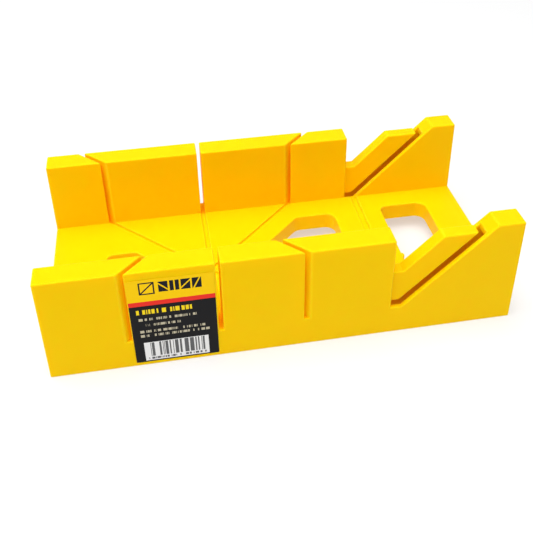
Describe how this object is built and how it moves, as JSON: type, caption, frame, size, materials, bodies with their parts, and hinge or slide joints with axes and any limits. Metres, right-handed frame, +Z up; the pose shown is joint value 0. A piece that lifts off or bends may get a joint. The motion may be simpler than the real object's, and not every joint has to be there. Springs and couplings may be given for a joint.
{
  "type": "mitre box",
  "caption": "Open-ended moulded plastic mitre box that guides a hand saw for square, 45 degree mitre and 45 degree bevel cuts in timber laid between its fences.",
  "frame": {"origin": "on the bench, under the middle of the box's overall outline", "axes": "+X along the box from the mitre cuts towards the bevel cut, +Y from the labelled fence to the plain fence, +Z up from the bench"},
  "size_m": [0.3, 0.1376, 0.079],
  "materials": {
    "box_plastic": "satin moulded yellow plastic, slightly translucent at thin edges",
    "label_film": "printed self-adhesive film, black field with a red stripe and a yellow head"
  },
  "bodies": {
    "root": {"box_moulding": "box_plastic", "front_label": "label_film"}
  },
  "joints": []
}
